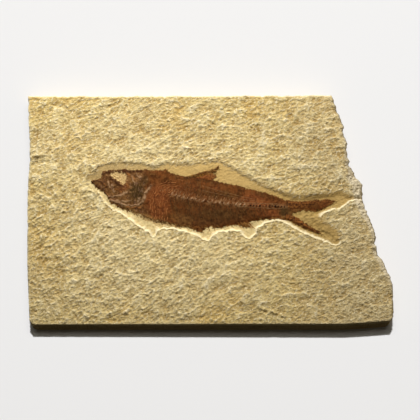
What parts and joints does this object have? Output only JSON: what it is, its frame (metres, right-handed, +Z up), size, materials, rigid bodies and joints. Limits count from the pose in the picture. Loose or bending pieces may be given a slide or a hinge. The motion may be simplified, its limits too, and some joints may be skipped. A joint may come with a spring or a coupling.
{
  "type": "fossil fish slab",
  "caption": "Sawn plate of pale laminated limestone with a broken end, its pecked face recessed around a flattened fossil fish in low relief.",
  "frame": {"origin": "middle of the flat underside, under the centre of the bounding box", "axes": "+X along the plate from the fish's head end to its tail end, +Y across the plate towards the fish's back, +Z up out of the pecked face"},
  "size_m": [0.1466, 0.0964, 0.0099],
  "materials": {
    "limestone": "matte buff limestone, pecked on the upper face and sawn or broken at the edges",
    "fossil_bone": "dark red-brown fossil bone and scales, matte with a slight sheen"
  },
  "bodies": {
    "root": {"limestone_slab": "limestone", "fossil_fish": "fossil_bone"}
  },
  "joints": []
}
